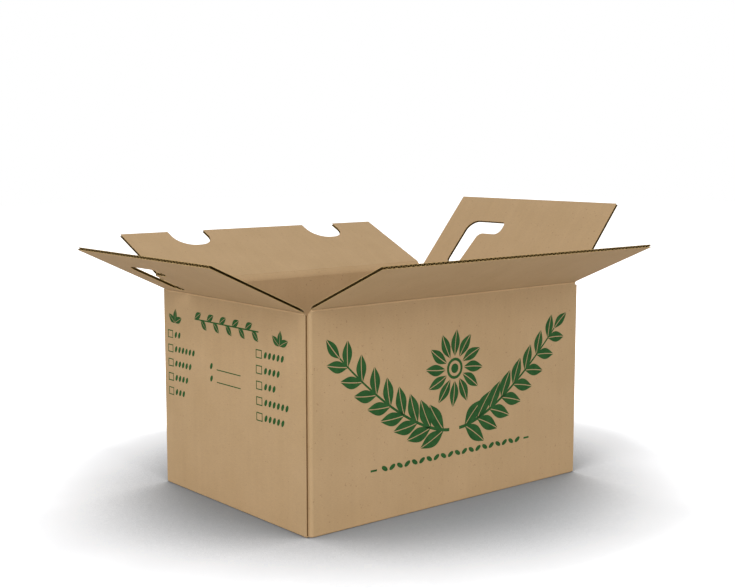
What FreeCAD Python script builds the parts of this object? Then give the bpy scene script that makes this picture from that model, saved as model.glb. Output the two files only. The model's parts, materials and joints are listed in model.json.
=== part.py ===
import FreeCAD, Part
import math
import os
import Sketcher

# A produce carton folded from one sheet of single wall corrugated board.
# Four walls and a glued bottom are one piece. Four top flaps turn on creases in the board.
# The origin is the centre of the base, on the floor. X runs along the front panel, from the
# left end to the right end, Y runs from the front to the rear and Z is up.
# Lengths are in millimetres and angles in degrees.

SIZES = [
    ("carton_length", 376.0, "outside, end panel to end panel"),
    ("carton_width", 260.0, "outside, front panel to rear panel"),
    ("carton_height", 217.0, "floor to the creases of the front and rear panels"),
    ("board", 3.0, "thickness of the corrugated board"),
    ("flap_depth", 112.0, "crease to free edge of every top flap"),
    ("base_flap_depth", 110.0, "crease to free edge of the two inner bottom flaps"),
    ("corner_slot", 4.2, "front and rear flaps are set in from the carton's ends by this"),
    ("side_gap", 1.5, "end flap to front or rear wall, when it is folded in"),
    ("closing_gap", 0.3, "folded end flap to the long flap that lies over it"),
    ("crease_gap", 0.4, "wall to flap along a crease"),
    ("corner_radius", 2.5, "outside radius of three of the upright folds"),
    ("lap_radius", 3.5, "outside radius of the fold next to the glued lap"),
    ("lap_setback", 3.8, "raw edge of the left end panel to the front panel's face"),
    ("lap_gap", 0.3, "side edge of the folded left end flap to the front panel's turned in board"),
    ("base_radius", 1.6, "outside radius of the folds round the bottom"),
    ("base_seam", 1.5, "gap between the two outer bottom flaps"),
    ("seam_shift", 2.0, "middle of that gap behind the middle of the bottom"),
    ("base_lift", 0.6, "bottom of the end panels above the floor"),
    ("tab_width", 32.0, "glue tab, from the inside of the front panel"),
    ("tab_trim", 14.0, "glue tab, kept clear of the flaps at top and bottom"),
    ("tab_taper", 6.0, "slope of the tab's two ends over its width"),
    ("front_angle", 23.8, "front flap above level, as it stands open"),
    ("rear_angle", 24.8, "rear flap above level, as it stands open"),
    ("left_angle", 25.3, "left end flap above level, as it stands open"),
    ("right_angle", 50.0, "right end flap above level, as it stands open"),
    ("flute_pitch", 5.5, "crest to crest of the fluted medium"),
    ("liner", 0.35, "thickness of each flat liner"),
    ("medium", 0.35, "thickness of the fluted medium"),
    ("flute_margin", 1.8, "side edge of a flap to its first flute"),
    ("slot_side", 37.1, "hand slot to the rear side edge of the end flap"),
    ("slot_root", 8.0, "hand slot to the crease"),
    ("slot_root_width", 21.5, "long arm of the slot, next to the crease"),
    ("slot_elbow_width", 26.5, "long arm of the slot, at the elbow"),
    ("slot_lean", 1.0, "long arm's rear side, nearer to the middle at the elbow by this"),
    ("slot_crown", 75.3, "crease to the far side of the slot"),
    ("slot_arm_width", 18.8, "short arm of the slot"),
    ("slot_reach", 61.5, "length of the slot along the crease, over the elbow"),
    ("slot_end_radius", 9.0, "corners of the long arm next to the crease"),
    ("slot_elbow_radius", 15.5, "outer corner of the elbow"),
    ("slot_inner_radius", 8.0, "inner corner of the elbow"),
    ("slot_tip_radius", 5.0, "short arm's corner on the free edge side"),
    ("slot_heel_radius", 9.0, "short arm's corner on the crease side"),
    ("notch_spacing", 196.0, "centre to centre of the rear flap's two notches"),
    ("notch_width", 48.8, "width of a notch at the free edge"),
    ("notch_depth", 34.0, "free edge to the bottom of a notch"),
    ("notch_radius", 22.0, "bottom corners of a notch"),
]

HALF_LENGTH = "(sizes.carton_length / 2)"
HALF_WIDTH = "(sizes.carton_width / 2)"
LONG_CREASE = "sizes.carton_height"
END_CREASE = "(sizes.carton_height - sizes.board - sizes.closing_gap)"
LONG_FLAP_HALF = "(sizes.carton_length / 2 - sizes.corner_slot)"
END_FLAP_HALF = "(sizes.carton_width / 2 - sizes.board - sizes.side_gap)"
INNER_HALF_LENGTH = "(sizes.carton_length / 2 - sizes.board)"
INNER_HALF_WIDTH = "(sizes.carton_width / 2 - sizes.board)"
CREASE_SETBACK = "sizes.crease_gap / 2"
# How far a cutting outline runs out past the board that it cuts.
CLEAR = "2 * sizes.board"
# Places closer together than this are the same place.
NEAR = 0.01

doc = FreeCAD.newDocument("produce_carton")


def size_sheet():
    """The driving dimensions, one to a row: name, value, meaning."""
    sheet = doc.addObject("Spreadsheet::Sheet", "sizes")
    for row, (alias, number, meaning) in enumerate(SIZES, start=1):
        sheet.set(f"A{row}", alias)
        sheet.set(f"B{row}", str(number))
        sheet.set(f"C{row}", meaning)
        sheet.setAlias(f"B{row}", alias)
    doc.recompute()
    return sheet


def origin_plane(body, role):
    """One of the body's own origin planes or axes, found by its role."""
    return next(part for part in body.Origin.OriginFeatures if part.Role == role)


def new_sketch(body, name, role, offset=None):
    """A sketch on an origin plane, moved along the plane's normal by the offset."""
    sketch = body.newObject("Sketcher::SketchObject", name)
    sketch.AttachmentSupport = [(origin_plane(body, role), "")]
    sketch.MapMode = "FlatFace"
    if offset:
        sketch.setExpression("AttachmentOffset.Base.z", offset)
    return sketch


def bind(sketch, kind, *where, expression):
    """Adds a dimension to the sketch and ties it to the sheet."""
    start = float(sketch.evalExpression(expression))
    index = sketch.addConstraint(Sketcher.Constraint(kind, *where, start))
    sketch.setExpression(f"Constraints[{index}]", expression)


def bind_point(sketch, geometry, end, x, y):
    """Ties one point of the sketch to the origin, across and up."""
    bind(sketch, "DistanceX", -1, 1, geometry, end, expression=x)
    bind(sketch, "DistanceY", -1, 1, geometry, end, expression=y)


def nearest_end(sketch, geometry, place):
    """Which end of an arc lies at the place: 1 for its start, 2 for its end."""
    gaps = [(sketch.getPoint(geometry, end) - place).Length for end in (1, 2)]
    return 1 + gaps.index(min(gaps))


def outline(sketch, corners):
    """A closed outline. Each corner is (x, y, radius) as expressions; a radius of None is sharp."""
    spots = [
        FreeCAD.Vector(sketch.evalExpression(x), sketch.evalExpression(y), 0)
        for x, y, radius in corners
    ]
    count = len(corners)
    ways = [(spots[(i + 1) % count] - spots[i]).normalize() for i in range(count)]
    setbacks = []
    for i, (x, y, radius) in enumerate(corners):
        turn = ways[i - 1].getAngle(ways[i])
        size = float(sketch.evalExpression(radius)) if radius else 0.0
        setbacks.append(size * math.tan(turn / 2))
    lines = []
    for i in range(count):
        start = spots[i] + ways[i] * setbacks[i]
        end = spots[(i + 1) % count] - ways[i] * setbacks[(i + 1) % count]
        lines.append(sketch.addGeometry(Part.LineSegment(start, end), False))
    for i, (x, y, radius) in enumerate(corners):
        before = lines[i - 1]
        after = lines[i]
        if not radius:
            sketch.addConstraint(Sketcher.Constraint("Coincident", before, 2, after, 1))
            bind_point(sketch, after, 1, x, y)
            continue
        enter = spots[i] - ways[i - 1] * setbacks[i]
        leave = spots[i] + ways[i] * setbacks[i]
        size = float(sketch.evalExpression(radius))
        inward = (ways[i] - ways[i - 1]).normalize()
        reach = math.hypot(size, setbacks[i])
        middle = spots[i] + inward * (reach - size)
        arc = sketch.addGeometry(Part.Arc(enter, middle, leave), False)
        first = nearest_end(sketch, arc, enter)
        corner = sketch.addGeometry(Part.Point(spots[i]), True)
        sketch.addConstraint(Sketcher.Constraint("Tangent", before, 2, arc, first))
        sketch.addConstraint(Sketcher.Constraint("Tangent", arc, 3 - first, after, 1))
        sketch.addConstraint(Sketcher.Constraint("PointOnObject", corner, 1, before))
        sketch.addConstraint(Sketcher.Constraint("PointOnObject", corner, 1, after))
        bind(sketch, "Radius", arc, expression=radius)
        bind_point(sketch, corner, 1, x, y)


def box_outline(sketch, low_x, high_x, low_y, high_y):
    """A sharp rectangle between two values of x and two of y."""
    outline(
        sketch,
        [
            (low_x, low_y, None),
            (high_x, low_y, None),
            (high_x, high_y, None),
            (low_x, high_y, None),
        ],
    )


def grow(body, name, sketch, length, symmetric=False):
    """A pad of the sketch. A symmetric one reaches half its length to each side."""
    feature = body.newObject("PartDesign::Pad", name)
    feature.Profile = sketch
    feature.Midplane = symmetric
    feature.setExpression("Length", length)
    return feature


def cut(body, name, sketch, length):
    """A pocket that takes the sketch away, half the length to each side of its plane."""
    feature = body.newObject("PartDesign::Pocket", name)
    feature.Profile = sketch
    feature.Midplane = True
    feature.setExpression("Length", length)
    return feature


def soften(body, name, base, keep, radius):
    """A fillet on those straight edges of the base whose middle and direction pass the test."""
    doc.recompute()
    names = []
    for number, edge in enumerate(base.Shape.Edges, start=1):
        ends = [vertex.Point for vertex in edge.Vertexes]
        if len(ends) == 2 and keep((ends[0] + ends[1]) / 2, ends[1] - ends[0]):
            names.append(f"Edge{number}")
    feature = body.newObject("PartDesign::Fillet", name)
    feature.Base = (base, names)
    feature.setExpression("Radius", radius)
    return feature


def both_sides(corners):
    """The same outline at +x and, mirrored, at -x."""
    mirrored = [(f"-({x})", y, radius) for x, y, radius in reversed(corners)]
    return corners, mirrored


def carton_body():
    """Four walls, the glued bottom flaps and the glue tab: one folded sheet."""
    body = doc.addObject("PartDesign::Body", "carton_body")

    # The front panel turns in behind the left end panel, which stops short of the corner, so
    # the raw edge of its board shows there from the bottom to the crease.
    lap_edge = f"-({HALF_WIDTH} - sizes.lap_setback)"
    turned_in = f"-({END_FLAP_HALF} + sizes.lap_gap)"
    turned_face = f"-({INNER_HALF_LENGTH} - sizes.board)"
    plan = new_sketch(body, "wall_plan", "XY_Plane")
    outline(
        plan,
        [
            (f"-{HALF_LENGTH}", lap_edge, None),
            (f"-{INNER_HALF_LENGTH}", lap_edge, None),
            (f"-{INNER_HALF_LENGTH}", f"-{HALF_WIDTH}", "sizes.lap_radius"),
            (HALF_LENGTH, f"-{HALF_WIDTH}", "sizes.corner_radius"),
            (HALF_LENGTH, HALF_WIDTH, "sizes.corner_radius"),
            (f"-{HALF_LENGTH}", HALF_WIDTH, "sizes.corner_radius"),
        ],
    )
    outline(
        plan,
        [
            (turned_face, f"-{INNER_HALF_WIDTH}", None),
            (INNER_HALF_LENGTH, f"-{INNER_HALF_WIDTH}", None),
            (INNER_HALF_LENGTH, INNER_HALF_WIDTH, None),
            (f"-{INNER_HALF_LENGTH}", INNER_HALF_WIDTH, None),
            (f"-{INNER_HALF_LENGTH}", turned_in, None),
            (turned_face, turned_in, None),
        ],
    )
    walls = grow(body, "walls", plan, LONG_CREASE)

    def bottom_fold(middle, way):
        """Lies on the floor, on one of the four outer planes of the carton."""
        outside_x = abs(abs(middle.x) - sizes.carton_length / 2)
        outside_y = abs(abs(middle.y) - sizes.carton_width / 2)
        return min(outside_x, outside_y) + abs(middle.z) < NEAR

    soften(body, "bottom_folds", walls, bottom_fold, "sizes.base_radius")

    # The end panels stop lower than the long panels, so that the folded end flaps lie under
    # the folded long flaps. This cut is also the slot between neighbouring flaps.
    end_top = f"({END_CREASE} - {CREASE_SETBACK})"
    above = f"({LONG_CREASE} + {CLEAR})"
    slots = new_sketch(body, "corner_slot_outline", "XZ_Plane")
    for corners in both_sides(
        [
            (LONG_FLAP_HALF, end_top, None),
            (f"{HALF_LENGTH} + {CLEAR}", end_top, None),
            (f"{HALF_LENGTH} + {CLEAR}", above, None),
            (LONG_FLAP_HALF, above, None),
        ]
    ):
        outline(slots, corners)
    cut(body, "corner_slots", slots, "2 * sizes.carton_width")

    # Each wall is mitred inward from its crease, as a scored board gives way inside the fold.
    end_mitre = new_sketch(body, "end_mitre_outline", "XZ_Plane")
    for corners in both_sides(
        [
            (HALF_LENGTH, end_top, None),
            (f"{HALF_LENGTH} - {CLEAR}", f"{end_top} - {CLEAR}", None),
            (f"{HALF_LENGTH} - {CLEAR}", f"{end_top} + {CLEAR}", None),
            (HALF_LENGTH, f"{end_top} + {CLEAR}", None),
        ]
    ):
        outline(end_mitre, corners)
    cut(body, "end_mitres", end_mitre, f"2 * {INNER_HALF_WIDTH}")
    long_top = f"({LONG_CREASE} - {CREASE_SETBACK})"
    long_mitre = new_sketch(body, "long_mitre_outline", "YZ_Plane")
    for corners in both_sides(
        [
            (f"{HALF_WIDTH} + {CLEAR}", f"{long_top} + {CLEAR}", None),
            (f"{HALF_WIDTH} - {CLEAR}", f"{long_top} + {CLEAR}", None),
            (f"{HALF_WIDTH} - {CLEAR}", f"{long_top} - {CLEAR}", None),
        ]
    ):
        outline(long_mitre, corners)
    cut(body, "long_mitres", long_mitre, "2 * sizes.carton_length")

    # The end panels' bottom folds stand a little off the floor, over the outer bottom flaps.
    lift = new_sketch(body, "base_lift_outline", "XZ_Plane")
    for corners in both_sides(
        [
            (LONG_FLAP_HALF, f"-({CLEAR})", None),
            (f"{HALF_LENGTH} + {CLEAR}", f"-({CLEAR})", None),
            (f"{HALF_LENGTH} + {CLEAR}", "sizes.base_lift", None),
            (LONG_FLAP_HALF, "sizes.base_lift", None),
        ]
    ):
        outline(lift, corners)
    cut(body, "base_lift_cut", lift, "2 * sizes.carton_width")

    # The front outer bottom flap reaches a little past the middle, where the rear one meets it.
    # The inner pair is glued on top of them.
    outer = new_sketch(body, "outer_base_plan", "XY_Plane")
    for wall, edge in (
        (f"-{INNER_HALF_WIDTH}", "(sizes.seam_shift - sizes.base_seam / 2)"),
        (INNER_HALF_WIDTH, "(sizes.seam_shift + sizes.base_seam / 2)"),
    ):
        box_outline(outer, f"-{LONG_FLAP_HALF}", LONG_FLAP_HALF, wall, edge)
    grow(body, "outer_base_flaps", outer, "sizes.board")
    inner = new_sketch(body, "inner_base_plan", "XY_Plane", offset="sizes.board")
    for side in ("", "-"):
        box_outline(
            inner,
            f"{side}{INNER_HALF_LENGTH}",
            f"{side}({HALF_LENGTH} - sizes.base_flap_depth)",
            f"-{END_FLAP_HALF}",
            END_FLAP_HALF,
        )
    grow(body, "inner_base_flaps", inner, "sizes.board")

    # The front panel ends in the glue tab, which is stuck to the inside of the left end panel.
    tab_edge = f"-({INNER_HALF_WIDTH} - sizes.tab_width)"
    tab_low = "(2 * sizes.board + sizes.tab_trim)"
    tab_high = f"({END_CREASE} - sizes.board - sizes.tab_trim)"
    tab = new_sketch(body, "glue_tab_outline", "YZ_Plane", offset=f"-{INNER_HALF_LENGTH}")
    outline(
        tab,
        [
            (tab_edge, f"{tab_low} + sizes.tab_taper", None),
            (f"-{INNER_HALF_WIDTH}", tab_low, None),
            (f"-{INNER_HALF_WIDTH}", tab_high, None),
            (tab_edge, f"{tab_high} - sizes.tab_taper", None),
        ],
    )
    grow(body, "glue_tab", tab, "sizes.board")
    return body


def flute_count(half):
    """How many flutes fit between the two side edges of a flap."""
    return f"floor((2 * {half} - 2 * sizes.flute_margin) / sizes.flute_pitch)"


def flap(name, along, outward, half, cutouts=None):
    """One top flap, flat and level, with its crease on the along axis and its outside down.

    along is X or Y, the way of the crease, and outward is + or -, the way that the flap points.
    The root is mitred. cutouts draws what is stamped out of the flap, in its XY plane."""
    body = doc.addObject("PartDesign::Body", name)
    across = "YZ_Plane" if along == "X" else "XZ_Plane"
    lengthwise = "XZ_Plane" if along == "X" else "YZ_Plane"
    section = new_sketch(body, f"{name}_section", across)
    outline(
        section,
        [
            (f"{outward}({CREASE_SETBACK})", "0", None),
            (f"{outward}(sizes.flap_depth)", "0", None),
            (f"{outward}(sizes.flap_depth)", "sizes.board", None),
            (f"{outward}({CREASE_SETBACK} + sizes.board)", "sizes.board", None),
        ],
    )
    grow(body, f"{name}_board", section, f"2 * {half}", symmetric=True)
    if cutouts:
        plan = new_sketch(body, f"{name}_cutouts", "XY_Plane")
        cutouts(plan, outward)
        cut(body, f"{name}_stamping", plan, "4 * sizes.board")

    # Two triangular channels for each flute: one opens to the upper liner, one to the lower.
    count = flute_count(half)
    first = f"(-({count} - 0.5) * sizes.flute_pitch / 2)"
    crest = "((sizes.flute_pitch - sizes.medium) / 2)"
    flute = new_sketch(body, f"{name}_flute", lengthwise)
    upper_liner = "(sizes.board - sizes.liner)"
    outline(
        flute,
        [
            (first, "sizes.liner + sizes.medium", None),
            (f"{first} + {crest}", upper_liner, None),
            (f"{first} - {crest}", upper_liner, None),
        ],
    )
    second = f"({first} + sizes.flute_pitch / 2)"
    outline(
        flute,
        [
            (second, f"{upper_liner} - sizes.medium", None),
            (f"{second} - {crest}", "sizes.liner", None),
            (f"{second} + {crest}", "sizes.liner", None),
        ],
    )
    channel = cut(body, f"{name}_channel", flute, "4 * sizes.flap_depth")
    doc.recompute()
    flutes = body.newObject("PartDesign::LinearPattern", f"{name}_flutes")
    flutes.Originals = [channel]
    flutes.Direction = (origin_plane(body, f"{along}_Axis"), [""])
    flutes.setExpression("Occurrences", count)
    flutes.setExpression("Length", f"({count} - 1) * sizes.flute_pitch")
    body.Tip = flutes
    return body


def hand_slot(sketch, outward):
    """The bent slot near the rear side edge of an end flap, wider at its elbow."""
    rear = f"({END_FLAP_HALF} - sizes.slot_side)"
    elbow = f"({rear} - sizes.slot_lean)"
    tip = f"({rear} - sizes.slot_reach)"
    crown = f"{outward}(sizes.slot_crown)"
    arm = f"{outward}(sizes.slot_crown - sizes.slot_arm_width)"
    root = f"{outward}(sizes.slot_root)"
    outline(
        sketch,
        [
            (root, rear, "sizes.slot_end_radius"),
            (crown, elbow, "sizes.slot_elbow_radius"),
            (crown, tip, "sizes.slot_tip_radius"),
            (arm, tip, "sizes.slot_heel_radius"),
            (arm, f"{elbow} - sizes.slot_elbow_width", "sizes.slot_inner_radius"),
            (root, f"{rear} - sizes.slot_root_width", "sizes.slot_end_radius"),
        ],
    )


def edge_notches(sketch, outward):
    """Two round bottomed notches in the free edge of the rear flap."""
    bottom = f"{outward}(sizes.flap_depth - sizes.notch_depth)"
    mouth = f"{outward}(sizes.flap_depth + {CLEAR})"
    for side in ("-", ""):
        middle = f"{side}(sizes.notch_spacing / 2)"
        outline(
            sketch,
            [
                (f"{middle} - sizes.notch_width / 2", mouth, None),
                (f"{middle} - sizes.notch_width / 2", bottom, "sizes.notch_radius"),
                (f"{middle} + sizes.notch_width / 2", bottom, "sizes.notch_radius"),
                (f"{middle} + sizes.notch_width / 2", mouth, None),
            ],
        )


def stand_open(body, axis, crease, turn):
    """Puts the flap's crease in its place and turns the flap about it."""
    body.Placement = FreeCAD.Placement(FreeCAD.Vector(), FreeCAD.Rotation(axis, 1))
    for direction, expression in crease.items():
        body.setExpression(f"Placement.Base.{direction}", expression)
    body.setExpression("Placement.Rotation.Angle", turn)


def check(pieces):
    """Stops the build if any object failed or a piece is not one valid solid."""
    for item in doc.Objects:
        if "Invalid" in item.State or "Error" in item.State:
            raise RuntimeError(f"{item.Name} failed: {item.State}")
    for piece in pieces:
        shape = piece.Shape
        if shape.isNull() or not shape.isValid() or len(shape.Solids) != 1:
            raise RuntimeError(f"{piece.Label} is not one valid solid")
        print(f"{piece.Label}: {shape.Volume:.0f} mm3, {len(shape.Faces)} faces")


sizes = size_sheet()
along_x = FreeCAD.Vector(1, 0, 0)
along_y = FreeCAD.Vector(0, 1, 0)
box = carton_body()
front = flap("front_flap", "X", "-", LONG_FLAP_HALF)
rear = flap("rear_flap", "X", "+", LONG_FLAP_HALF, edge_notches)
left = flap("left_end_flap", "Y", "-", END_FLAP_HALF, hand_slot)
right = flap("right_end_flap", "Y", "+", END_FLAP_HALF, hand_slot)
stand_open(front, along_x, {"y": f"-{HALF_WIDTH}", "z": LONG_CREASE}, "-sizes.front_angle")
stand_open(rear, along_x, {"y": HALF_WIDTH, "z": LONG_CREASE}, "sizes.rear_angle")
stand_open(left, along_y, {"x": f"-{HALF_LENGTH}", "z": END_CREASE}, "sizes.left_angle")
stand_open(right, along_y, {"x": HALF_LENGTH, "z": END_CREASE}, "-sizes.right_angle")
doc.recompute()

pieces = [box, front, rear, left, right]
check(pieces)
os.makedirs("parts", exist_ok=True)
for piece in pieces:
    piece.Shape.exportStep(f"parts/{piece.Label}.step")
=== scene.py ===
# %% [markdown]
# # A produce carton of corrugated board
#
# The real carton is one sheet of single wall board: two flat liners of kraft paper with a
# fluted paper glued between them. It is folded into four walls and a bottom, and its four top
# flaps stand open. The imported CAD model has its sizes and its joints. This lesson dresses
# that model: real liners and flutes for the flaps, paper that bends at the creases, kraft
# fibres, cut edges and a green print.
#
# Lengths are in metres. X runs along the front panel, Y from the front to the rear, Z is up.

import json
import math

import bpy
import numpy as np
from mathutils.geometry import tessellate_polygon
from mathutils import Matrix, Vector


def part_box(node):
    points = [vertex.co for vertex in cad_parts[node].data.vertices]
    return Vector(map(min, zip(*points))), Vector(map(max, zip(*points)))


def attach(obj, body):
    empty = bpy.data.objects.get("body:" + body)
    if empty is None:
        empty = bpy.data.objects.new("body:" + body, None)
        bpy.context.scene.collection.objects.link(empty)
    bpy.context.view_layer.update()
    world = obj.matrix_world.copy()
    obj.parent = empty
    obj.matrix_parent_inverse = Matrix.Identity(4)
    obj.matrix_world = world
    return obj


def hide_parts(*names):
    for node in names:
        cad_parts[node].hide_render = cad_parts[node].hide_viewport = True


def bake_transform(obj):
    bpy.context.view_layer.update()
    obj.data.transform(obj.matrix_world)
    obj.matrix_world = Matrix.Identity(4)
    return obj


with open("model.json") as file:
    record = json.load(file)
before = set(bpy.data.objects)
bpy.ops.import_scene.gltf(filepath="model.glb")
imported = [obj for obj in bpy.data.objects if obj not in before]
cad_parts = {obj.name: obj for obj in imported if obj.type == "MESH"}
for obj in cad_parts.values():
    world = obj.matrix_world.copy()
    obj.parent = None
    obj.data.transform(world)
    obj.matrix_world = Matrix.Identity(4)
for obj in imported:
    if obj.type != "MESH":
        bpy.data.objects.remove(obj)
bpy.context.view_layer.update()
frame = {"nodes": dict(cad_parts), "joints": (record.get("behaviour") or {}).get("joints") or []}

# %% [markdown]
# The sizes that the pieces share are read from the frame, so that nothing has to be fitted:
# a joint gives the place of a crease, its upper limit tells how far the flap stands open, and
# a node's box gives the length of the flap. Only the sizes of the board, the setback at a
# crease and the depth of a flap are typed here, as they are in the CAD model.

# %% Read the sizes of the carton
MM = 0.001
BOARD = 3 * MM
LINER = 0.36 * MM
MEDIUM = 0.38 * MM
FLUTE_PITCH = 5.5 * MM
FLAP_DEPTH = 112 * MM
CREASE_SETBACK = 0.2 * MM

wall_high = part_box("carton_body")[1]
HALF_LENGTH = wall_high.x
HALF_WIDTH = wall_high.y


def flap_frame(joint):
    """Where a flap is: its hinge line, its outward, along and upper directions, and its half length."""
    hinge = np.array(joint["pos_m"])
    sideways = hinge * [1, 1, 0]
    out = sideways / np.linalg.norm(sideways)
    along = np.abs([out[1], out[0], 0])
    lift = math.radians(180 - joint["range_deg"][1])
    up = np.array([0, 0, 1])
    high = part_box(joint["child"])[1]
    return {
        "name": joint["child"],
        "hinge": hinge,
        "along": along,
        "out": out,
        "lift": lift,
        "depth_way": out * math.cos(lift) + up * math.sin(lift),
        "face_way": up * math.cos(lift) - out * math.sin(lift),
        "half": float(np.dot(np.array(high), along)),
    }


flaps = {joint["child"]: flap_frame(joint) for joint in frame["joints"]}
for place in flaps.values():
    print(place["name"], "stands", round(math.degrees(place["lift"]), 1), "degrees above level")

# %% [markdown]
# ## Two ways to make a surface
#
# Everything on a carton is one of two shapes. A cut sheet or a printed field is a flat
# outline with a thickness. A fold, a bead or a wave is a profile carried along a line. So
# there are two builders, and each returns plain arrays of points and faces. Whole arrays are
# worked out at once by numpy, which is quicker and easier to read than a loop over vertices.

# %% Helpers for outlines


def rounded(corners, arc_points=10):
    """A closed outline from corners (a, b, radius). Each corner is an arc that touches both sides.

    With the turn t between the two sides, the arc starts r * tan(t / 2) before the corner, and
    its points are the start turned about the centre by 0 to t."""
    corners = np.array(corners, float)
    spots = corners[:, :2]
    radius = corners[:, 2:]
    arriving = spots - np.roll(spots, 1, 0)
    arriving /= np.linalg.norm(arriving, axis=1, keepdims=True)
    leaving = np.roll(arriving, -1, 0)
    cross = arriving[:, 0] * leaving[:, 1] - arriving[:, 1] * leaving[:, 0]
    turn = np.arctan2(cross, np.sum(arriving * leaving, axis=1))[:, None]
    inward = np.stack([-arriving[:, 1], arriving[:, 0]], 1) * np.sign(turn)
    start = spots - arriving * radius * np.tan(np.abs(turn) / 2)
    centre = start + inward * radius
    swept = turn * np.linspace(0, 1, arc_points)
    arm = start - centre
    a = centre[:, :1] + arm[:, :1] * np.cos(swept) - arm[:, 1:] * np.sin(swept)
    b = centre[:, 1:] + arm[:, :1] * np.sin(swept) + arm[:, 1:] * np.cos(swept)
    keep = (radius > 0) | (np.arange(arc_points) == 0)
    return np.stack([a[keep], b[keep]], 1)


def slab(outlines, low, high):
    """A plate with the thickness high - low. The first outline is its rim, the others are its holes."""
    flat = np.concatenate(outlines)
    count = len(flat)
    level = np.ones((count, 1))
    points = np.concatenate([np.hstack([flat, level * low]), np.hstack([flat, level * high])])
    caps = np.array(tessellate_polygon([np.hstack([o, np.zeros((len(o), 1))]) for o in outlines]))
    first = np.cumsum([0] + [len(o) for o in outlines[:-1]])
    following = np.concatenate([start + np.roll(np.arange(len(o)), -1) for start, o in zip(first, outlines)])
    here = np.arange(count)
    walls = np.stack([here, following, following + count, here + count], 1)
    faces = caps[:, ::-1].tolist() + (caps + count).tolist() + walls.tolist()
    return points, faces


def loft(sections):
    """A closed profile carried along a line. sections has the shape (stations, profile points, 3)."""
    stations, around = sections.shape[:2]
    index = np.arange(stations * around).reshape(stations, around)
    beside = np.roll(index, -1, 1)
    sides = np.stack([index[:-1], beside[:-1], beside[1:], index[1:]], -1).reshape(-1, 4)
    faces = sides.tolist() + [index[0, ::-1].tolist(), index[-1].tolist()]
    return sections.reshape(-1, 3), faces


def joined(parts):
    """Several (points, faces) as one, with the number of the part that each face came from."""
    first = np.cumsum([0] + [len(points) for points, faces in parts])
    points = np.concatenate([points for points, faces in parts])
    faces = [[start + i for i in face] for start, part in zip(first, parts) for face in part[1]]
    owner = np.repeat(np.arange(len(parts)), [len(part[1]) for part in parts])
    return points, faces, owner


print("A rounded square has", len(rounded([(0, 0, 1), (4, 0, 1), (4, 4, 1), (0, 4, 1)])), "points")

# %% [markdown]
# A mesh object is made from such arrays in one step. Its normals are worked out anew, so
# that every closed shell faces outward whichever way its outline ran.

# %% Helper that makes a piece
import bmesh


def make_piece(name, points, faces, materials, owner=None, smooth=False):
    """A mesh object at the origin with its place in its vertices. owner picks a material for each face."""
    mesh = bpy.data.meshes.new(name)
    mesh.from_pydata(points.tolist(), [], faces)
    for material in materials:
        mesh.materials.append(material)
    if owner is not None:
        mesh.polygons.foreach_set("material_index", owner.astype(np.int32))
    shell = bmesh.new()
    shell.from_mesh(mesh)
    bmesh.ops.recalc_face_normals(shell, faces=shell.faces)
    shell.to_mesh(mesh)
    shell.free()
    mesh.polygons.foreach_set("use_smooth", np.full(len(mesh.polygons), smooth))
    mesh.validate()
    mesh.update()
    piece = bpy.data.objects.new(name, mesh)
    bpy.context.scene.collection.objects.link(piece)
    return piece


# %% [markdown]
# ## Camera
#
# The camera stands where the photographer's did: low, in front of the near left corner, with
# a moderately long lens. Place, angles and focal length were solved from the corners of the
# carton in the photograph.

# %% Camera
camera_data = bpy.data.cameras.new("camera")
camera_data.lens = 59.68
camera_data.sensor_width = 36
camera = bpy.data.objects.new("camera", camera_data)
camera.location = (-0.8523, -1.0195, 0.3678)
camera.rotation_euler = (math.radians(83.0291), 0, math.radians(-39.6178))
bpy.context.scene.collection.objects.link(camera)
bpy.context.scene.camera = camera
print("The camera looks from", tuple(round(v, 3) for v in camera.location))

# %% [markdown]
# ## Kraft paper
#
# Kraft liner is brown and matt. Near by it shows fibres, short and lying along the machine's
# way, which is across the flutes. A step away it shows soft blotches, and faint stripes where
# the flutes carry the liner. An image could show all that, but a pattern worked out from
# object coordinates never repeats and has no resolution. So the colour is a base tone and
# three noises: blotches, stripes along the flutes, and fibres across them. A fourth noise
# leaves a few small dark specks, as bark does in brown paper.

# %% Small helper for shader nodes


def srgb(red, green, blue):
    """A linear colour from 0 to 255 display values: ((c / 255 + 0.055) / 1.055) ** 2.4."""
    shown = np.array([red, green, blue]) / 255
    return (*(((shown + 0.055) / 1.055) ** 2.4).tolist(), 1.0)


def node(tree, kind, inputs=None, **settings):
    """Adds a shader node. An input is a value, or the output socket that feeds it."""
    made = tree.nodes.new("ShaderNode" + kind)
    for key, value in settings.items():
        setattr(made, key, value)
    for key, value in (inputs or {}).items():
        if isinstance(value, bpy.types.NodeSocket):
            tree.links.new(value, made.inputs[key])
        else:
            made.inputs[key].default_value = value
    return made


def stretched_noise(tree, place, scale, detail=2.0):
    """Noise with its own number of blotches per metre along X, Y and Z."""
    mapping = node(tree, "Mapping", {"Vector": place, "Scale": scale})
    noise = node(tree, "TexNoise", {"Vector": mapping.outputs[0], "Scale": 1.0, "Detail": detail})
    return noise.outputs["Fac"]


def ranged(tree, value, low, high, start=0.0, end=1.0):
    """Carries a value from the range start to end over to the range low to high."""
    inputs = {"Value": value, "From Min": start, "From Max": end, "To Min": low, "To Max": high}
    return node(tree, "MapRange", inputs).outputs[0]


def times(tree, first, second, operation="MULTIPLY"):
    """Two numbers multiplied, or joined by another operation."""
    return node(tree, "Math", {0: first, 1: second}, operation=operation).outputs[0]


# %% [markdown]
# The flutes run up the walls and out along the flaps. On the front and rear panels their
# stripes are counted along X, on the end panels along Y, so the paper has a material for
# each. The body holds both kinds of panel, so its material picks the way by the normal.

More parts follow.
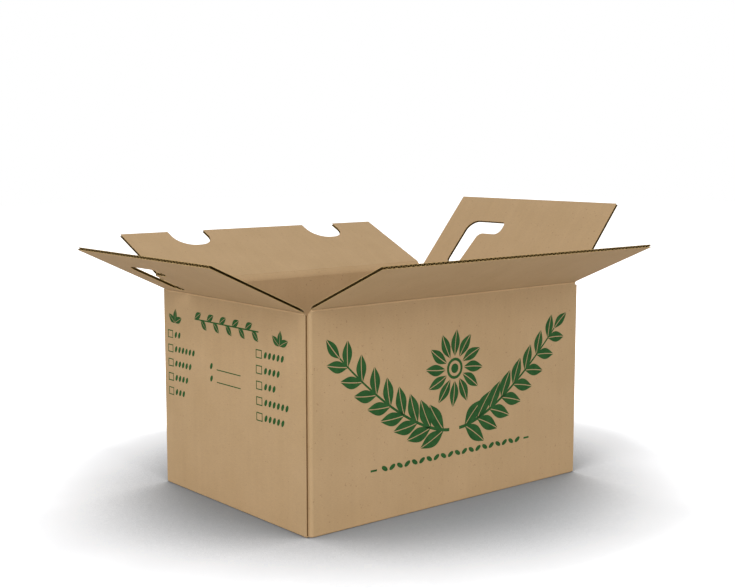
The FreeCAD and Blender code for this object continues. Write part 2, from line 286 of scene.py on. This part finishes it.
# %% Kraft material
KRAFT_DARK = srgb(184, 154, 114)
KRAFT_PALE = srgb(191, 161, 123)
SPECK = srgb(140, 106, 70)
BLOTCHES = 26.0
STRIPES_ALONG_FLUTES = 9.0
STRIPES_ACROSS_FLUTES = 160.0
FIBRES_ALONG_FLUTES = 1700.0
FIBRES_ACROSS_FLUTES = 330.0
SPECKS = 420.0


def kraft_tone(tree, place, across):
    """Blotches, stripes and fibres, for flutes that are counted along X (0) or Y (1)."""
    coarse = [STRIPES_ALONG_FLUTES] * 3
    coarse[across] = STRIPES_ACROSS_FLUTES
    fine = [FIBRES_ALONG_FLUTES] * 3
    fine[across] = FIBRES_ACROSS_FLUTES
    blotch = stretched_noise(tree, place, [BLOTCHES] * 3, 3.0)
    stripe = stretched_noise(tree, place, coarse, 2.0)
    fibre = stretched_noise(tree, place, fine, 3.0)
    return blotch, stripe, fibre


def kraft_material(name, across=None, tone=1.0):
    """Brown liner paper. across is 0 for flutes counted along X, 1 for Y and None for both."""
    material = bpy.data.materials.new(name)
    material.use_nodes = True
    tree = material.node_tree
    shader = tree.nodes["Principled BSDF"]
    coordinates = node(tree, "TexCoord")
    place = coordinates.outputs["Object"]
    if across is None:
        normal = node(tree, "SeparateXYZ", {0: coordinates.outputs["Normal"]})
        end_panel = times(tree, node(tree, "Math", {0: normal.outputs[0]}, operation="ABSOLUTE").outputs[0],
                          0.7, "GREATER_THAN")
        along_x = kraft_tone(tree, place, 0)
        along_y = kraft_tone(tree, place, 1)
        blotch, stripe, fibre = (
            node(tree, "Mix", {"Factor": end_panel, 2: x, 3: y}).outputs[0] for x, y in zip(along_x, along_y)
        )
    else:
        blotch, stripe, fibre = kraft_tone(tree, place, across)
    # A tone above 1 brightens the paper; the crease bead uses it as a painted highlight.
    shade = times(tree, ranged(tree, blotch, 0.99, 1.01, 0.3, 0.7), tone)
    shade = times(tree, shade, ranged(tree, stripe, 0.985, 1.015, 0.3, 0.7))
    shade = times(tree, shade, ranged(tree, fibre, 0.95, 1.05, 0.3, 0.7))
    speck = stretched_noise(tree, place, [SPECKS] * 3, 1.0)
    dark = ranged(tree, speck, 0.0, 0.55, 0.70, 0.80)
    base = node(tree, "Mix", {"Factor": blotch, "A": KRAFT_DARK, "B": KRAFT_PALE}, data_type="RGBA")
    spotted = node(
        tree, "Mix", {"Factor": dark, "A": base.outputs["Result"], "B": SPECK}, data_type="RGBA"
    )
    lit = node(tree, "HueSaturation", {"Value": shade, "Color": spotted.outputs["Result"]})
    tree.links.new(lit.outputs[0], shader.inputs["Base Color"])
    tree.links.new(ranged(tree, fibre, 0.72, 0.92, 0.3, 0.7), shader.inputs["Roughness"])
    height = times(tree, times(tree, fibre, 0.35), times(tree, stripe, 0.65), "ADD")
    bump = node(tree, "Bump", {"Height": height, "Strength": 0.12, "Distance": 0.0004})
    tree.links.new(bump.outputs[0], shader.inputs["Normal"])
    shader.inputs["Specular IOR Level"].default_value = 0.25
    return material


kraft_both = kraft_material("kraft_board")
kraft_x = kraft_material("kraft_liner_long", 0)
kraft_y = kraft_material("kraft_liner_end", 1)
print("Kraft materials:", kraft_both.name, kraft_x.name, kraft_y.name)

# %% [markdown]
# At a cut edge the board shows how it is made: a thin pale line for each liner, and a zigzag for the fluted
# paper, which is recycled and so darker. Between them the flutes are dark tunnels, and their shade is
# painted: the broad faces of the fluted paper, and the liners' faces towards it, wear a near black paper as
# painted shade. All these papers are coarse, and too small in the picture for stripes or fibres.

# %% Materials of the cut edges


def coarse_paper(name, dark, pale):
    """Paper with a coarse grain between two tones."""
    material = bpy.data.materials.new(name)
    material.use_nodes = True
    tree = material.node_tree
    shader = tree.nodes["Principled BSDF"]
    place = node(tree, "TexCoord").outputs["Object"]
    grain = stretched_noise(tree, place, (900.0, 900.0, 900.0), 3.0)
    tone = node(tree, "Mix", {"Factor": grain, "A": dark, "B": pale}, data_type="RGBA")
    tree.links.new(tone.outputs["Result"], shader.inputs["Base Color"])
    shader.inputs["Roughness"].default_value = 0.95
    shader.inputs["Specular IOR Level"].default_value = 0.15
    return material


# Painted shade: near black paper for the faces inside the flute tunnels.
painted_flute_shade = coarse_paper("fluting_painted_shade", srgb(60, 45, 12), srgb(82, 63, 24))
fluting_cut = coarse_paper("fluting_cut", srgb(142, 114, 66), srgb(174, 144, 92))
liner_cut = coarse_paper("kraft_liner_cut", srgb(184, 154, 102), srgb(202, 170, 118))
print("Materials of the cut edges:", painted_flute_shade.name, fluting_cut.name, liner_cut.name)

# %% [markdown]
# ## Flaps
#
# Each flap is cut by one die: a rectangle, with two notches in the rear flap's free edge and
# a bent hand slot in each end flap. The outline is drawn once, in the flap's own plane, with
# s along the crease and v from the crease to the free edge. The same outline cuts both
# liners and the fluted paper between them.

# %% Outlines of the flaps
NOTCH_OFF_MIDDLE = 98 * MM
NOTCH_WIDTH = 48.8 * MM
NOTCH_DEPTH = 34 * MM
NOTCH_RADIUS = 22 * MM
SLOT_TO_SIDE_EDGE = 37.1 * MM
SLOT_LEAN = 1 * MM
SLOT_REACH = 61.5 * MM
SLOT_ROOT = 8 * MM
SLOT_CROWN = 75.3 * MM
LONG_ARM_AT_ROOT = 21.5 * MM
LONG_ARM_AT_ELBOW = 26.5 * MM
SHORT_ARM_WIDTH = 18.8 * MM
ROOT_RADIUS = 9 * MM
ELBOW_RADIUS = 15.5 * MM
INNER_ELBOW_RADIUS = 8 * MM
TIP_RADIUS = 5 * MM
HEEL_RADIUS = 9 * MM

def rim(half, root, notches=()):
    """The flap from the depth root to the free edge. A notch is (middle, width, depth, radius)."""
    corners = [(-half, root, 0), (half, root, 0), (half, FLAP_DEPTH, 0)]
    for middle, width, depth, radius in notches:
        bottom = FLAP_DEPTH - depth
        corners += [
            (middle + width / 2, FLAP_DEPTH, 0),
            (middle + width / 2, bottom, radius),
            (middle - width / 2, bottom, radius),
            (middle - width / 2, FLAP_DEPTH, 0),
        ]
    return rounded(corners + [(-half, FLAP_DEPTH, 0)])


def hand_slot(half):
    """The bent slot: a long arm up from the crease, an elbow, and a short arm along the flap."""
    rear = half - SLOT_TO_SIDE_EDGE
    elbow = rear - SLOT_LEAN
    tip = rear - SLOT_REACH
    short_arm = SLOT_CROWN - SHORT_ARM_WIDTH
    return rounded(
        [
            (rear, SLOT_ROOT, ROOT_RADIUS),
            (elbow, SLOT_CROWN, ELBOW_RADIUS),
            (tip, SLOT_CROWN, TIP_RADIUS),
            (tip, short_arm, HEEL_RADIUS),
            (elbow - LONG_ARM_AT_ELBOW, short_arm, INNER_ELBOW_RADIUS),
            (rear - LONG_ARM_AT_ROOT, SLOT_ROOT, ROOT_RADIUS),
        ]
    )


NOTCHES = [(side * NOTCH_OFF_MIDDLE, NOTCH_WIDTH, NOTCH_DEPTH, NOTCH_RADIUS) for side in (1, -1)]


def flap_outlines(name, half, root):
    """The rim of the named flap and its holes."""
    if name == "front_flap":
        return [rim(half, root)]
    if name == "rear_flap":
        return [rim(half, root, NOTCHES)]
    return [rim(half, root), hand_slot(half)]


print("The hand slot's outline has", len(hand_slot(flaps["left_end_flap"]["half"])), "points")

# %% [markdown]
# The fluted paper is a wave in s that runs straight in v. Along each value of s the outline
# is crossed two or more times: paper lies between the first and the second crossing, and
# between the third and the fourth. Columns with the same number of crossings form a block,
# and each stretch of a block is a wavy sheet with its own thickness. Knives tear the last
# flute at a side edge, so the fluted paper ends a little before the liners there.

# %% Fluted paper
COLUMNS_PER_FLUTE = 14
FLUTES_SET_IN = 0.8 * MM

def crossings(outlines, columns):
    """For each column s, the depths v at which it crosses the outlines, in order, then infinity."""
    start = np.concatenate(outlines)
    end = np.concatenate([np.roll(outline, -1, 0) for outline in outlines])
    s = columns[:, None]
    met = (np.minimum(start[:, 0], end[:, 0]) <= s) & (s < np.maximum(start[:, 0], end[:, 0]))
    run = np.where(met, end[:, 0] - start[:, 0], 1.0)
    depth = start[:, 1] + (s - start[:, 0]) / run * (end[:, 1] - start[:, 1])
    return np.sort(np.where(met, depth, np.inf), axis=1)


def wave(s, thickness):
    """The middle of the fluted paper at s, moved half the thickness along its normal.

    The middle is n = board / 2 + swing * cos(2 pi s / pitch), with the normal (-n', 1) / |(-n', 1)|."""
    swing = (BOARD - 2 * LINER - MEDIUM) / 2
    turn = 2 * math.pi / FLUTE_PITCH
    middle = BOARD / 2 + swing * np.cos(turn * s)
    slope = -swing * turn * np.sin(turn * s)
    length = np.hypot(slope, 1)
    return s - thickness / 2 * slope / length, middle + thickness / 2 / length


def fluted_sheets(outlines, half):
    """The fluted paper of one flap, as closed sheets between the crossings of the outlines."""
    count = int(2 * half / FLUTE_PITCH * COLUMNS_PER_FLUTE)
    columns = np.linspace(-half + FLUTES_SET_IN, half - FLUTES_SET_IN, count)
    depths = crossings(outlines, columns)
    met = np.isfinite(depths).sum(1)
    blocks = np.split(np.arange(count), np.flatnonzero(np.diff(met)) + 1)
    sheets = []
    for block in (b for b in blocks if len(b) > 1):
        s = columns[block]
        upper_s, upper_n = wave(s, MEDIUM)
        lower_s, lower_n = wave(s, -MEDIUM)
        for first in range(0, met[block[0]], 2):
            near = depths[block, first]
            far = depths[block, first + 1]
            upper = [(upper_s, near, upper_n), (upper_s, far, upper_n)]
            lower = [(lower_s, far, lower_n), (lower_s, near, lower_n)]
            sheets.append(loft(np.stack([np.stack(corner, -1) for corner in upper + lower], 1)))
    return sheets


print("One wave is", round(wave(np.array([0.0]), 0)[1][0] / MM, 2), "mm above the outer face at its crest")

# %% [markdown]
# A point (s, v, n) of a flap is carried to its place in the carton by the flap's own three
# directions, starting at the hinge line.

# %% Flap boards


def on_flap(place, points):
    """hinge + s * along + v * depth way + n * face way."""
    s, v, n = points.T[:, :, None]
    return place["hinge"] + s * place["along"] + v * place["depth_way"] + n * place["face_way"]


def liner_finish(liner, low, high):
    """The finish of each face of a liner: its low caps and its high caps, triangles, then its cut edge."""
    caps = [len(face) for face in liner[1]].count(3) // 2
    return [low] * caps + [high] * caps + [3] * (len(liner[1]) - 2 * caps)


def flap_board(place):
    """Both liners and the fluted paper of a flap, as one piece that stands for the CAD node.

    The liners' sides towards the flutes, and the broad faces of the fluted paper, wear the painted shade of
    the flute tunnels. On the fluted paper every second face is a cut edge, because its profile runs along a
    face, an edge, a face and an edge."""
    name, half = place["name"], place["half"]
    outer = slab(flap_outlines(name, half, CREASE_SETBACK), 0, LINER)
    root = CREASE_SETBACK + BOARD
    inner = slab(flap_outlines(name, half, root), BOARD - LINER, BOARD)
    flutes = fluted_sheets(flap_outlines(name, half, root), half)
    points, faces, owner = joined([outer, inner, *flutes])
    flute_finish = [1 + np.arange(len(sheet[1])) % 2 for sheet in flutes]
    finish = np.concatenate([liner_finish(outer, 0, 1), liner_finish(inner, 1, 0), *flute_finish])
    # The papers: kraft, the painted shade of the flute tunnels, cut fluting and cut liner.
    papers = [kraft_x if place["along"][0] else kraft_y, painted_flute_shade, fluting_cut, liner_cut]
    board = make_piece(name + "_board", on_flap(place, points), faces, papers, finish)
    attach(board, name)
    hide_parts(name)
    return board


for place in flaps.values():
    board = flap_board(place)
    print(board.name, "has", len(board.data.polygons), "faces")

# %% [markdown]
# ## Creases
#
# Along a crease the board is crushed to about a millimetre. The inner liner is pulled straight across it,
# from the inside of the wall to the inside of the flap, and the outer liner is squeezed into a small bead.

# %% Crease strips
STRIP_OVERLAP = 1.2 * MM
PULL_AT_WALL = 3.6 * MM
PULL_AT_FLAP = 3.0 * MM
CREASE_DIP = 0.1 * MM
STRIP_SET_IN = 0.3 * MM


def on_section(place, s, out, up):
    """A point of the upright section through a crease: hinge + s * along + out * outward + up * Z."""
    s, out, up = (np.asarray(value)[..., None] for value in (s, out, up))
    return place["hinge"] + s * place["along"] + out * place["out"] + up * np.array([0, 0, 1.0])


def crease_curve(place, count=17):
    """The inner liner across the crease: a cubic from the wall's inside to the flap's inside.

    It starts upward along the wall and ends along the flap. Its middle is pressed towards the
    hinge by the scoring rule, by dip * sin(pi t) ** 4. Points are (out, up) from the hinge."""
    root = CREASE_SETBACK + BOARD + STRIP_OVERLAP
    depth_way = np.array([math.cos(place["lift"]), math.sin(place["lift"])])
    face_way = np.array([-depth_way[1], depth_way[0]])
    start = np.array([-BOARD, -root])
    end = root * depth_way + BOARD * face_way
    first = start + [0, PULL_AT_WALL]
    second = end - PULL_AT_FLAP * depth_way
    t = np.linspace(0, 1, count)[:, None]
    curve = (1 - t) ** 3 * start + 3 * t * (1 - t) ** 2 * first + 3 * t**2 * (1 - t) * second + t**3 * end
    towards = -curve[count // 2] / np.linalg.norm(curve[count // 2])
    return curve + CREASE_DIP * np.sin(math.pi * t) ** 4 * towards, start, end


def crease_strip(place):
    """The inner liner over a crease, bending between the carton and the flap."""
    curve, start, end = crease_curve(place)
    along = np.gradient(curve, axis=0)
    along /= np.linalg.norm(along, axis=1, keepdims=True)
    side = np.stack([along[:, 1], -along[:, 0]], 1) * LINER
    ring = np.concatenate([curve + side * 0.05, (curve + side)[::-1]])
    half = place["half"] - STRIP_SET_IN
    s = np.linspace(-half, half, 3)[:, None] * np.ones(len(ring))
    section = on_section(place, s, ring[:, 0] * np.ones(s.shape), ring[:, 1] * np.ones(s.shape))
    points, faces = loft(section)
    liner = kraft_x if place["along"][0] else kraft_y
    strip = make_piece(place["name"].replace("flap", "crease_inner"), points, faces, [liner])
    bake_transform(strip)
    return strip


for place in flaps.values():
    strip = crease_strip(place)
    print(strip.name, "has", len(strip.data.vertices), "points")

# %% [markdown]
# The bead is a low swelling of the wall just under the hinge line. Its paper is painted a little paler, a
# painted highlight, so that it shows as a thin light line under the flap's shade. It grows away from the wall
# by no more than 8 degrees, so that it also leaves room for a flap that hangs down.

# %% Crease beads
# Painted highlight: the bead's kraft is made 1.22 times as bright.
bead_highlight_paper = kraft_material("kraft_painted_highlight", None, 1.22)
BEAD_SECTION = np.array(
    [(-0.03, -0.04), (0.03, -0.30), (0.15, -1.10), (0.15, -1.35), (0.07, -1.60), (-0.03, -1.75)]
)


def crease_bead(place):
    """The bead's section (out, up), in millimetres, carried along the crease.

    Its height wanders a little, by the factor 1 + 0.1 * sin(260 s) * sin(97 s)."""
    half = place["half"]
    stations = np.linspace(-half, half, 60)[:, None]
    out, up = BEAD_SECTION.T * MM
    wander = 1 + 0.1 * np.sin(stations * 260) * np.sin(stations * 97)
    level = np.ones((len(stations), len(out)))
    points, faces = loft(on_section(place, stations * level, out * level, up * wander))
    bead = make_piece(place["name"].replace("flap", "crease_bead"), points, faces, [bead_highlight_paper], smooth=True)
    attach(bead, "carton")
    return bead


for place in flaps.values():
    bead = crease_bead(place)
    print(bead.name, "has", len(bead.data.vertices), "points")

# %% [markdown]
# ## Walls and bottom
#
# The folded walls and the bottom have their true shape in the CAD model, so that node stays,
# and only its material changes.

# %% Finish of the walls
body = frame["nodes"]["carton_body"]
body.data.materials.clear()
body.data.materials.append(kraft_both)
print("The walls wear", body.data.materials[0].name)

# %% [markdown]
# ## The raw edge at the near corner
#
# At the near left corner the left end panel stops, and the front panel turns in behind it.
# The raw edge of the board shows there as a dark line between two thin liners. The solid wall is flat at that
# place, so the liners go on a little way past it, and a strip painted dark, as painted shade of the open
# flutes, closes the groove between them.

# %% Places on a panel


def on_panel(panel, points):
    """origin + u * across + v * down + n * outward, for points (u, v, n)."""
    origin, across, outward = (np.array(part) for part in panel)
    u, v, n = points.T[:, :, None]
    return origin + u * across + v * np.array([0, 0, -1.0]) + n * outward


TOP = float(flaps["front_flap"]["hinge"][2])
FRONT_PANEL = ((-HALF_LENGTH, -HALF_WIDTH, TOP), (1, 0, 0), (0, -1, 0))
LEFT_PANEL = ((-HALF_LENGTH, HALF_WIDTH, TOP), (0, -1, 0), (-1, 0, 0))
print("The panels are", round(2 * HALF_LENGTH, 3), "and", round(2 * HALF_WIDTH, 3), "m wide")

# %% Raw edge of the left end panel
LAP_SETBACK = 3.8 * MM
LAP_STRIPS = [(0, 0.8, 0.35), (0.8, 2.4, 0.03), (2.4, 3, 0.35)]
LAP_FOOT = 1.8 * MM
# Painted shade: the middle strip of the raw edge is dark brown in place of the shade in the flutes.
raw_edge_shade_paper = coarse_paper("raw_edge_painted_shade", srgb(92, 66, 36), srgb(118, 88, 54))
END_TOP = TOP - float(flaps["left_end_flap"]["hinge"][2])


def raw_edge():
    """Three upright strips on the wall's edge: a liner, a strip painted dark as shade and set back, and a
    liner.

    A strip is given by where it starts and ends across the board and how far it stands out, in
    millimetres. The liners are folded over a little, so they look wider than their paper."""
    top = END_TOP + CREASE_SETBACK
    bottom = TOP - LAP_FOOT
    strips = []
    for low, high, reach in np.array(LAP_STRIPS) * MM:
        outline = np.array([(low, top + low), (high, top + high), (high, bottom), (low, bottom)])
        strips.append(slab([outline], -LAP_SETBACK, reach - LAP_SETBACK))
    points, faces, owner = joined(strips)
    points = on_panel(FRONT_PANEL, points)
    edge = make_piece("lap_raw_edge", points, faces, [kraft_y, raw_edge_shade_paper], np.where(owner == 1, 1, 0))
    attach(edge, "carton")
    return edge


print(raw_edge().name, "stands", round(LAP_SETBACK / MM, 1), "mm behind the front panel's face")

# %% [markdown]
# ## Green print
#
# The carton is printed in one green with rubber plates. The ink is matt and soaks in, so it
# is a little uneven, and it lies only a few hundredths of a millimetre above the paper. A
# texture could hold the print, but thin closed shapes keep their edges sharp at any
# distance. The print here is a plain ornament of leaves and seeds, and a form to tick.

# %% Ink


def ink_material():
    """Matt green ink that lets a little of the paper's grain through."""
    material = bpy.data.materials.new("green_ink")
    material.use_nodes = True
    tree = material.node_tree
    shader = tree.nodes["Principled BSDF"]
    place = node(tree, "TexCoord").outputs["Object"]
    cloud = stretched_noise(tree, place, (180.0, 180.0, 180.0), 3.0)
    grain = stretched_noise(tree, place, (1500.0, 1500.0, 1500.0), 2.0)
    mixed = times(tree, times(tree, cloud, 0.6), times(tree, grain, 0.4), "ADD")
    even = ranged(tree, mixed, 0.0, 1.0, 0.35, 0.65)
    tone = node(tree, "Mix", {"Factor": even, "A": srgb(30, 78, 34), "B": srgb(48, 94, 46)}, data_type="RGBA")
    tree.links.new(tone.outputs["Result"], shader.inputs["Base Color"])
    shader.inputs["Roughness"].default_value = 0.8
    shader.inputs["Specular IOR Level"].default_value = 0.2
    return material


ink = ink_material()
INK_THICKNESS = 0.07 * MM
print("Ink material:", ink.name)

# %% Shapes of the ornament


def placed(outline, spot, angle):
    """An outline turned by the angle and moved to the spot, both in the panel's (u, v)."""
    turn = np.array([[math.cos(angle), math.sin(angle)], [-math.sin(angle), math.cos(angle)]])
    return outline @ turn + np.array(spot)


def leaf(length, width, spot, angle, rib=0.9 * MM, count=16):
    """Two half blades beside a bare rib, both bent a little to one side.

    At a along the leaf the blade's edge is at b = rib / 2 + width / 2 * sin(pi a / length) ** 1.1."""
    a = np.linspace(0, length, count)
    edge = rib / 2 + width / 2 * np.sin(math.pi * a / length) ** 1.1
    bend = 0.10 * length * (a / length) ** 2
    blade = np.stack([a, edge + bend], 1)
    rib_side = np.stack([a[::-1], rib / 2 + bend[::-1]], 1)[1:-1]
    upper = np.concatenate([blade, rib_side])
    lower = upper * [1, -1] + np.stack([np.zeros(len(upper)), 0.20 * length * (upper[:, 0] / length) ** 2], 1)
    return [placed(half, spot, angle) for half in (upper, lower)]


def stroke(points, start_width, end_width):
    """A line with a width that changes evenly: its points moved to both sides along the normal."""
    along = np.gradient(points, axis=0)
    along /= np.linalg.norm(along, axis=1, keepdims=True)
    side = np.stack([-along[:, 1], along[:, 0]], 1)
    width = np.linspace(start_width, end_width, len(points))[:, None] / 2
    return np.concatenate([points + side * width, (points - side * width)[::-1]])


def seed(spot, length, width, angle=0.0, count=14):
    """An ellipse: (length / 2 cos t, width / 2 sin t)."""
    t = np.linspace(0, 2 * math.pi, count, endpoint=False)
    return placed(np.stack([length / 2 * np.cos(t), width / 2 * np.sin(t)], 1), spot, angle)


def rectangle(u, v, width, height):
    """A rectangle from its upper left corner."""
    return np.array([(u, v), (u + width, v), (u + width, v + height), (u, v + height)])


def print_piece(name, panel, shapes):
    """Printed shapes as one piece. A shape is a list of outlines: its rim, then its holes.

    Neighbours differ a little in height, so that no two faces lie in one plane where they overlap."""
    heights = INK_THICKNESS * (1 + 0.1 * (np.arange(len(shapes)) % 7))
    points, faces, owner = joined([slab(shape, -h / 2, h) for shape, h in zip(shapes, heights)])
    piece = make_piece(name, on_panel(panel, points), faces, [ink])
    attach(piece, "carton")
    return piece


print("One leaf has", sum(len(half) for half in leaf(20 * MM, 6 * MM, (0, 0), 0)), "points")

# %% [markdown]
# The front panel carries a garland of two boughs that rise from the middle to both sides, a
# rosette between them, and a row of seeds below. Each bough is a curve, and its leaves stand
# in pairs along it, smaller towards the tip.

# %% Print of the front panel


def bough(way, count=8):
    """One half of the garland: u = 188 + way * (7 + 143 t), v = 139 - 90 t ** 1.6, in millimetres."""
    t = np.linspace(0, 1, 40)
    curve = np.stack([188 + way * (7 + 143 * t), 139 - 90 * t**1.6], 1) * MM
    shapes = [[stroke(curve, 3.4 * MM, 1.6 * MM)]]
    slope = np.gradient(curve, axis=0)
    for share in (np.arange(count) + 0.45) / count:
        spot = [np.interp(share, t, curve[:, axis]) for axis in (0, 1)]
        way_on = [np.interp(share, t, slope[:, axis]) for axis in (0, 1)]
        heading = math.atan2(way_on[1], way_on[0])
        size = (35 - 10 * share) * MM
        for side in (1, -1):
            angle = heading + side * math.radians(40)
            shapes += [[half] for half in leaf(size, 0.43 * size, spot, angle)]
    shapes += [[half] for half in leaf(25 * MM, 10 * MM, curve[-1], math.atan2(*slope[-1][::-1]))]
    return shapes


def rosette(middle, petals=12):
    """A ring and a dot with leaves all round, at the angles 2 pi i / petals."""
    shapes = [[seed(middle, 22 * MM, 22 * MM, count=40), seed(middle, 16 * MM, 16 * MM, count=40)]]
    shapes.append([seed(middle, 10 * MM, 10 * MM, count=24)])
    for angle in np.arange(petals) * 2 * math.pi / petals:
        spot = np.array(middle) + 13 * MM * np.array([math.cos(angle), math.sin(angle)])
        shapes += [[half] for half in leaf(27 * MM, 11 * MM, spot, angle)]
    return shapes


seed_row = [
    [seed((u * MM, 165 * MM), 8.6 * MM, 4.6 * MM, (-1) ** i * 0.55)]
    for i, u in enumerate(np.linspace(94, 282, 20))
]
dashes = [[rectangle(u * MM, 164 * MM, 8 * MM, 2 * MM)] for u in (76, 292)]
front_shapes = bough(1) + bough(-1) + rosette((188 * MM, 76 * MM)) + seed_row + dashes
front_print = print_piece("front_print", FRONT_PANEL, front_shapes)
print(front_print.name, "has", len(front_print.data.polygons), "faces")

# %% [markdown]
# The left end panel carries a form: two columns of boxes to tick, each with its own number of
# seeds, two rules to write on, a running vine as a heading, and a sprig over each column.

# %% Print of the left end panel


def tick_box(u, v, seeds):
    """A hollow box with a row of seeds beside it."""
    width, height, line = 10.3 * MM, 8.6 * MM, 1.0 * MM
    inner = rectangle(u + line, v + line, width - 2 * line, height - 2 * line)
    shapes = [[rectangle(u, v, width, height), inner]]
    for i in range(seeds):
        spot = (u + width + (6.0 + 7.0 * i) * MM, v + height / 2)
        shapes.append([seed(spot, 7.4 * MM, 4.2 * MM, -1.1)])
    return shapes


def vine(u, v, length, leaves):
    """A straight stem with leaves to both sides in turn."""
    step = length / leaves
    shapes = [[rectangle(u, v - 0.7 * MM, length, 1.4 * MM)]]
    for i in range(leaves):
        angle = math.radians(36 if i % 2 else -36)
        shapes += [[half] for half in leaf(1.25 * step, 0.6 * step, (u + i * step, v), angle, 0.5 * MM)]
    return shapes


def sprig(u, v):
    """Three leaves that spread upward from one foot."""
    return [
        [half]
        for angle in (-150, -90, -30)
        for half in leaf(15 * MM, 7 * MM, (u, v), math.radians(angle), 0.5 * MM)
    ]


COUNTS = [(9, (2, 6, 5, 4, 3)), (176, (5, 4, 3, 6, 5))]
form = [
    shape
    for u, seeds in COUNTS
    for row, number in enumerate(seeds)
    for shape in tick_box(u * MM, (46.6 + 15.6 * row) * MM, number)
]
rules = [[rectangle(105 * MM, v * MM, 43.7 * MM, 1.0 * MM)] for v in (77, 90)]
marks = [[seed((95 * MM, v * MM), 7.4 * MM, 4.2 * MM, -1.1)] for v in (75, 88)]
headings = vine(64 * MM, 29.5 * MM, 117 * MM, 10) + sprig(24 * MM, 38 * MM) + sprig(216 * MM, 39 * MM)
end_print = print_piece("left_end_print", LEFT_PANEL, form + rules + marks + headings)
print(end_print.name, "has", len(end_print.data.polygons), "faces")

# %% [markdown]
# ## Floor, world and lamps
#
# A plain pale floor holds a painted shadow under the carton. In the photograph that shadow is a wide, neutral
# grey haze that ends in pure white, with no horizon. One lamp would throw a shadow with an edge instead. So
# the floor measures how much of the sky above it is open, which the Ambient Occlusion node does, and paints
# itself darker for the camera the more the carton closes in.
# Where the sky is open, the camera sees white. All other rays meet a plain pale floor, so
# the light that it throws back on the carton is not changed. The floor lies a fifth of a
# millimetre under the carton, so that no two faces share a plane.

# %% Floor
# Painted shadow: the floor's colours to the camera, from closed in to open sky.
FLOOR_SHADOW_TONES = [
    (0.38, (0.295, 0.325, 0.360, 1)),
    (0.46, (0.335, 0.362, 0.395, 1)),
    (0.54, (0.415, 0.445, 0.480, 1)),
    (0.62, (0.575, 0.605, 0.640, 1)),
    (0.70, (0.780, 0.810, 0.850, 1)),
    (0.78, (0.900, 0.920, 0.950, 1)),
]
FLOOR_GLOW = [
    (0.70, (0, 0, 0, 1)),
    (0.80, (0.16, 0.16, 0.16, 1)),
    (0.90, (0.25, 0.25, 0.25, 1)),
    (0.97, (1, 1, 1, 1)),
]


def stepped(tree, value, stops):
    """A colour for each value: stops are pairs (value, colour), and it runs straight between them."""
    made = node(tree, "ValToRGB", {"Fac": value})
    ramp = made.color_ramp
    for element, (position, colour) in zip(ramp.elements, (stops[0], stops[-1])):
        element.position = position
        element.color = colour
    for position, colour in stops[1:-1]:
        ramp.elements.new(position).color = colour
    return made.outputs["Color"]


def floor_material():
    """Pale to the light. To the camera it is white, and darker where the carton closes in the sky."""
    material = bpy.data.materials.new("pale_floor")
    material.use_nodes = True
    tree = material.node_tree
    shader = tree.nodes["Principled BSDF"]
    camera_ray = node(tree, "LightPath").outputs["Is Camera Ray"]
    open_sky = node(tree, "AmbientOcclusion", {"Distance": 0.30}, samples=16).outputs["AO"]
    shade = stepped(tree, open_sky, FLOOR_SHADOW_TONES)
    pale = (0.75, 0.75, 0.75, 1)
    tone = node(tree, "Mix", {"Factor": camera_ray, "A": pale, "B": shade}, data_type="RGBA")
    glow = times(tree, stepped(tree, open_sky, FLOOR_GLOW), camera_ray)
    tree.links.new(tone.outputs["Result"], shader.inputs["Base Color"])
    tree.links.new(glow, shader.inputs["Emission Strength"])
    shader.inputs["Emission Color"].default_value = (1, 1, 1, 1)
    shader.inputs["Roughness"].default_value = 1.0
    shader.inputs["Specular IOR Level"].default_value = 0.0
    return material


FLOOR_HALF = 6.0
corners = np.array([[-1, -1, 0], [1, -1, 0], [1, 1, 0], [-1, 1, 0]]) * FLOOR_HALF
floor = make_piece("floor", corners - [0, 0, 0.2 * MM], [[0, 1, 2, 3]], [floor_material()])
print("The floor is", 2 * FLOOR_HALF, "m wide")

# %% World and lamps
world = bpy.data.worlds.new("studio")
bpy.context.scene.world = world
world.use_nodes = True
sky = world.node_tree
background = sky.nodes["Background"]
path = node(sky, "LightPath")
strength = node(sky, "MapRange", {"Value": path.outputs["Is Camera Ray"], "To Min": 0.36, "To Max": 1.0})
sky.links.new(strength.outputs[0], background.inputs["Strength"])
background.inputs["Color"].default_value = (1, 1, 1, 1)


CARTON_MIDDLE = np.array([0, 0, 0.12])


def softbox(name, place, size, power):
    """A square lamp that looks at the carton."""
    lamp = bpy.data.lights.new(name, "AREA")
    lamp.size = size
    lamp.energy = power
    holder = bpy.data.objects.new(name, lamp)
    holder.location = place
    aim = CARTON_MIDDLE - np.array(place)
    yaw = math.atan2(aim[1], aim[0]) - math.pi / 2
    tilt = math.atan2(math.hypot(aim[0], aim[1]), -aim[2])
    holder.rotation_euler = (tilt, 0, yaw)
    bpy.context.scene.collection.objects.link(holder)
    return holder


LAMPS = [
    ("left_light", (-2.4, -0.6, 1.45), 1.4, 36),
    ("front_light", (0.2, -2.6, 1.35), 1.6, 27),
    ("top_light", (-0.1, -0.5, 2.8), 1.6, 3),
    ("rear_light", (0.3, 2.4, 1.8), 1.6, 17),
    ("right_light", (2.4, 0.2, 1.5), 1.4, 12),
]
for name, place, size, power in LAMPS:
    softbox(name, place, size, power)
print("Lamps:", [name for name, place, size, power in LAMPS])

# %% Show colours as they are written
bpy.context.scene.view_settings.view_transform = "Standard"
